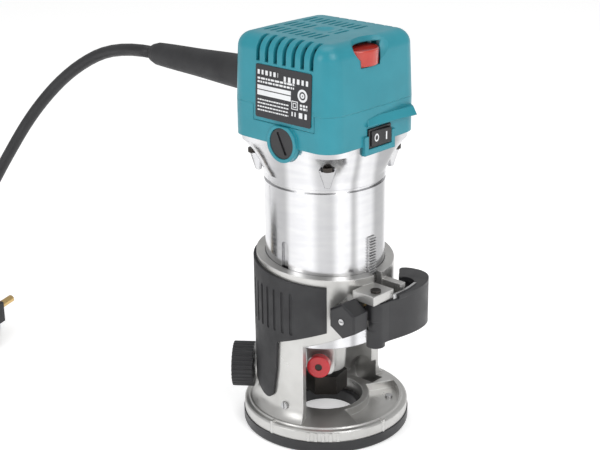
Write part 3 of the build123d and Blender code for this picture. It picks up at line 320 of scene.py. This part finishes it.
def add_ring(shape, origin, across, up, out, centre, radii, thick, squeeze=1.0, steps=32):
    """Flat ring on a plane, squeezed sideways into an oval if asked."""
    rows = []
    for radius, height in ((radii[0], 0), (radii[0], thick), (radii[1], thick), (radii[1], 0)):
        row = []
        for i in range(steps):
            turn = 2 * math.pi * i / steps
            x = centre[0] + radius * squeeze * math.cos(turn)
            y = centre[1] + radius * math.sin(turn)
            row.append(shape.verts.new(origin + across * x + up * y + out * height))
        rows.append(row)
    for a, b in ((0, 1), (1, 2), (2, 3), (3, 0)):
        for i in range(steps):
            j = (i + 1) % steps
            shape.faces.new((rows[a][i], rows[a][j], rows[b][j], rows[b][i]))


# ------------------------------------------------------------------ print on the rating plate
PRINT_THICK = 0.00006
COVER_DRAFT = 2.5        # degrees that the cover's wall leans inwards
PLATE_LIFT = 0.000235    # from the plate's middle to its outer face
PRINT_SEED = 7


def plate_plane():
    """Origin and directions of the rating plate's outer face, which leans with the cover."""
    low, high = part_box("rating_plate")
    lean = math.radians(COVER_DRAFT)
    up = Vector((math.sin(lean), 0, math.cos(lean)))
    out = Vector((-math.cos(lean), 0, math.sin(lean)))
    origin = Vector(((low.x + high.x) / 2, (low.y + high.y) / 2, (low.z + high.z) / 2)) + out * PLATE_LIFT
    return origin, Vector((0, -1, 0)), up, out


def build_print(shape):
    """Generic rating print: bars for lines of text, a pale serial field, a nested square and two rings."""
    origin, across, up, out = plate_plane()
    random.seed(PRINT_SEED)

    def row(height, size, start, end, word=(0.0008, 0.0032)):
        x = start
        while x < end:
            width = min(random.uniform(*word), end - x)
            add_block(shape, origin, across, up, out, (x + width / 2, height), (width, size), PRINT_THICK)
            x += width + size * 0.55

    row(0.0098, 0.0024, -0.0178, -0.0035, (0.0012, 0.0020))
    row(0.0086, 0.0026, 0.0005, 0.0170, (0.0014, 0.0022))
    row(0.0066, 0.0010, -0.0178, 0.0082)
    row(0.0048, 0.0010, -0.0178, 0.0076)
    add_block(shape, origin, across, up, out, (-0.0062, 0.0021), (0.0234, 0.0021), PRINT_THICK)
    add_block(shape, origin, across, up, out, (-0.0062, -0.0008), (0.0234, 0.0026), PRINT_THICK)
    for height in (-0.0044, -0.0062, -0.0080, -0.0098):
        row(height, 0.0007, -0.0176, 0.0040, (0.0006, 0.0020))
    add_ring(shape, origin, across, up, out, (0.0134, 0.0020), (0.0033, 0.0021), PRINT_THICK)
    add_ring(shape, origin, across, up, out, (0.0134, 0.0020), (0.0013, 0.0004), PRINT_THICK)
    for half, bar in ((0.0020, 0.0004), (0.0010, 0.0004)):
        for sign in (-1, 1):
            side_place = (0.0082 + sign * half, -0.0036)
            end_place = (0.0082, -0.0036 + sign * half)
            add_block(shape, origin, across, up, out, side_place, (bar, 2 * half + bar), PRINT_THICK)
            add_block(shape, origin, across, up, out, end_place, (2 * half - bar, bar), PRINT_THICK)
    for height in (-0.0030, -0.0046):
        row(height, 0.0011, 0.0118, 0.0168, (0.0010, 0.0018))
    row(-0.0082, 0.0022, 0.0062, 0.0098, (0.0006, 0.0012))
    row(-0.0082, 0.0028, 0.0112, 0.0166, (0.0020, 0.0024))


mesh_piece("rating_print", build_print, PRINT, "motor_unit")


# ------------------------------------------------------------------ marks on the rocker
ROCKER_LEFT = (-0.0056, -0.0374)
ROCKER_MIDDLE = (0.0012, -0.0380)
ROCKER_RIGHT = (0.0080, -0.0390)
MARK_THICK = 0.00012
MARK_SINK = 0.00002
OFF_RADII = (0.0021, 0.0013)
OFF_SQUEEZE = 0.72
ON_SIZE = (0.0008, 0.0042)


def rocker_face(start, end):
    """Plane of one half of the rocker's face, from its two edge points in X and Y."""
    low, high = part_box("power_rocker")
    across = Vector((end[0] - start[0], end[1] - start[1], 0)).normalized()
    out = Vector((across.y, -across.x, 0))
    origin = Vector(((start[0] + end[0]) / 2, (start[1] + end[1]) / 2, (low.z + high.z) / 2))
    return origin - out * MARK_SINK, across, Vector((0, 0, 1)), out


def build_off_mark(shape):
    """The ring on the off half."""
    origin, across, up, out = rocker_face(ROCKER_LEFT, ROCKER_MIDDLE)
    add_ring(shape, origin, across, up, out, (0, 0), OFF_RADII, MARK_THICK, squeeze=OFF_SQUEEZE)


def build_on_mark(shape):
    """The bar on the on half."""
    origin, across, up, out = rocker_face(ROCKER_MIDDLE, ROCKER_RIGHT)
    add_block(shape, origin, across, up, out, (0, 0), ON_SIZE, MARK_THICK)


mesh_piece("off_mark", build_off_mark, PRINT, "power_rocker")
mesh_piece("on_mark", build_on_mark, PRINT, "power_rocker")


# ------------------------------------------------------------------ cord
CORD_D = 7.4 * MM
COIL_CENTRE = Vector((-0.104, 0.265, 0))
COIL_MID_R = 0.041
COIL_COLUMNS = 4
COIL_LAYERS = 2
COIL_R_OUT = COIL_MID_R + COIL_COLUMNS / 2 * CORD_D
ENTRY_Y = COIL_CENTRE.y + COIL_R_OUT - CORD_D / 2
LAY_Z = CORD_D / 2
PLUG_AZ = math.radians(-70)
ROUTE = [
    (0, 0.134, 0.190),
    (0, 0.167, 0.190),
    (-0.007, 0.204, 0.172),
    (-0.017, 0.234, 0.142),
    (-0.028, 0.256, 0.106),
    (-0.038, 0.278, 0.067),
    (-0.048, 0.297, 0.033),
    (-0.058, 0.3065, 0.019),
    (-0.071, 0.313, 0.0102),
    (-0.085, ENTRY_Y - 0.0008, 0.005),
    (-0.100, ENTRY_Y, LAY_Z),
]
TURN_POINTS = 16
SHIFT_START = 0.75      # share of a turn after which it steps to the next column
PLUG_TAIL = 0.036       # plug's middle to its tail
PLUG_LEAD = 0.048       # plug's middle to the last free point of the cord
TAIL_STEPS = 7
TAIL_SWEEP = 0.93       # share of the last part turn that has points
TAIL_RISE = 1.3         # how much sooner the tail reaches the plug's height
TAIL_R = 0.0535


def column_and_layer(turn):
    """Column from the outside and layer from the floor of one turn, back and forth."""
    layer, along = divmod(turn, COIL_COLUMNS)
    column = along if layer % 2 == 0 else COIL_COLUMNS - 1 - along
    return column, layer


def coil_point(angle, radius, height):
    """Point at an angle and radius about the coil's centre."""
    x = COIL_CENTRE.x + radius * math.cos(angle)
    y = COIL_CENTRE.y + radius * math.sin(angle)
    return x, y, height


def coil_points():
    """Control points of the coil: turns step inwards, climb a layer, and step outwards again."""
    points = []
    turns = COIL_COLUMNS * COIL_LAYERS
    control_stretch = 1 / math.cos(math.pi / TURN_POINTS) ** 0.5
    for step in range(1, turns * TURN_POINTS + 1):
        turn, part = divmod(step, TURN_POINTS)
        part /= TURN_POINTS
        shift = max(0.0, (part - SHIFT_START) / (1 - SHIFT_START))
        shift = shift * shift * (3 - 2 * shift)
        column, layer = column_and_layer(min(turn, turns - 1))
        next_column, next_layer = column, layer
        if turn + 1 < turns:
            next_column, next_layer = column_and_layer(turn + 1)
        radius = COIL_R_OUT - CORD_D * (0.5 + column + (next_column - column) * shift)
        height = LAY_Z + CORD_D * (layer + (next_layer - layer) * shift)
        angle = math.pi / 2 + 2 * math.pi * step / TURN_POINTS
        spread = radius * control_stretch
        points.append(coil_point(angle, spread, height))
    return points


def tail_points():
    """The last part turn, which climbs over the coil into the back of the plug."""
    tail = plug_point(-PLUG_TAIL)
    start_turn = math.pi / 2
    end_turn = math.atan2(tail.y - COIL_CENTRE.y, tail.x - COIL_CENTRE.x) + 2 * math.pi
    start_r = COIL_R_OUT - CORD_D / 2
    points = []
    for step in range(1, TAIL_STEPS - 1):
        part = step / (TAIL_STEPS - 1)
        angle = start_turn + (end_turn - start_turn) * part * TAIL_SWEEP
        ease = min(1.0, part * TAIL_RISE)
        radius = start_r + (TAIL_R - start_r) * part
        climb = (tail.z - LAY_Z - CORD_D) * ease * ease * (3 - 2 * ease)
        height = LAY_Z + CORD_D * (COIL_LAYERS - 1) + climb
        points.append(coil_point(angle, radius, height))
    points.append(tuple(plug_point(-PLUG_LEAD)))
    points.append(tuple(tail))
    return points


def plug_point(along):
    """Point on the plug's axis, along its way from its middle."""
    low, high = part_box("plug_body")
    middle = COIL_CENTRE + Vector((math.cos(PLUG_AZ), math.sin(PLUG_AZ), 0)) * COIL_MID_R
    ahead = Vector((-math.sin(PLUG_AZ), math.cos(PLUG_AZ), 0))
    point = middle + ahead * along
    point.z = (low.z + high.z) / 2
    return point


def smooth_line(points):
    """Points along the NURBS line whose control points are given."""
    curve = bpy.data.curves.new("route", "CURVE")
    curve.dimensions = "3D"
    curve.resolution_u = 6
    spline = curve.splines.new("NURBS")
    spline.points.add(len(points) - 1)
    for place, point in zip(spline.points, points):
        place.co = (*point, 1)
    spline.order_u = 3
    spline.use_endpoint_u = True
    holder = bpy.data.objects.new("route", curve)
    bpy.context.collection.objects.link(holder)
    line = bpy.data.meshes.new_from_object(holder)
    path = [vertex.co.copy() for vertex in line.vertices]
    bpy.data.objects.remove(holder)
    bpy.data.meshes.remove(line)
    return path


def sweep_tube(shape, path, radius, sides=20):
    """Round tube along a path, with closed ends."""
    rings = []
    side = None
    for i, point in enumerate(path):
        ahead = (path[min(i + 1, len(path) - 1)] - path[max(i - 1, 0)]).normalized()
        if side is None:
            side = ahead.orthogonal().normalized()
        side = (side - ahead * side.dot(ahead)).normalized()
        over = ahead.cross(side)
        turns = [2 * math.pi * k / sides for k in range(sides)]
        spokes = [side * radius * math.cos(t) + over * radius * math.sin(t) for t in turns]
        rings.append([shape.verts.new(point + spoke) for spoke in spokes])
    for before, after in zip(rings, rings[1:]):
        for k in range(sides):
            m = (k + 1) % sides
            shape.faces.new((before[k], before[m], after[m], after[k]))
    shape.faces.new(rings[0])
    shape.faces.new(list(reversed(rings[-1])))


def make_cord():
    """The whole cord as one tube, from the motor unit's guard down to the coil on the floor."""
    path = smooth_line(ROUTE + coil_points() + tail_points())
    def build(shape):
        sweep_tube(shape, path, CORD_D / 2)

    cord = mesh_piece("cord", build, CORD_SKIN, None)
    for face in cord.data.polygons:
        face.use_smooth = True
    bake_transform(cord)
    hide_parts("cord_tube", "cord_coil")


make_cord()


# ------------------------------------------------------------------ studio
FLOOR_SIZE = 12
FLOOR_COLOUR = (0.93, 0.93, 0.93, 1)
FLOOR_GLOW = 0.42
SURROUND = 0.55
# name, place, aim, size, power
LIGHTS = (
    ("key", (-0.25, -0.95, 0.85), (0, 0, 0.12), (0.5, 0.8), 5.0),
    ("side", (-1.1, 0.15, 0.6), (0, 0, 0.12), (0.4, 0.7), 3.0),
    ("top", (0.1, 0.1, 1.3), (0, 0, 0.1), (0.8, 0.8), 3.0),
)


def make_floor():
    """Pale floor, slightly glowing so that it fades into the white surroundings."""
    bpy.ops.mesh.primitive_plane_add(size=1, location=(0, 0, 0))
    floor = bpy.context.object
    floor.name = "floor"
    floor.scale = (FLOOR_SIZE, FLOOR_SIZE, 1)
    material, tree, shader = new_material("floor")
    shader.inputs["Base Color"].default_value = FLOOR_COLOUR
    shader.inputs["Roughness"].default_value = 0.9
    shader.inputs["Emission Color"].default_value = FLOOR_COLOUR
    shader.inputs["Emission Strength"].default_value = FLOOR_GLOW
    floor.data.materials.append(material)


def area_light(name, place, aim, size, power):
    """Soft rectangular light."""
    data = bpy.data.lights.new(name, "AREA")
    data.shape = "RECTANGLE"
    data.size, data.size_y = size
    data.energy = power
    lamp = bpy.data.objects.new(name, data)
    bpy.context.collection.objects.link(lamp)
    lamp.location = place
    lamp.rotation_euler = (Vector(aim) - Vector(place)).to_track_quat("-Z", "Y").to_euler()


def make_studio():
    """White floor, white surroundings and soft lights."""
    make_floor()
    world = bpy.data.worlds.new("studio")
    bpy.context.scene.world = world
    world.use_nodes = True
    world.node_tree.nodes["Background"].inputs["Color"].default_value = (1, 1, 1, 1)
    world.node_tree.nodes["Background"].inputs["Strength"].default_value = SURROUND
    for name, place, aim, size, power in LIGHTS:
        area_light(name, place, aim, size, power)


make_studio()
bpy.context.scene.view_settings.view_transform = "Standard"
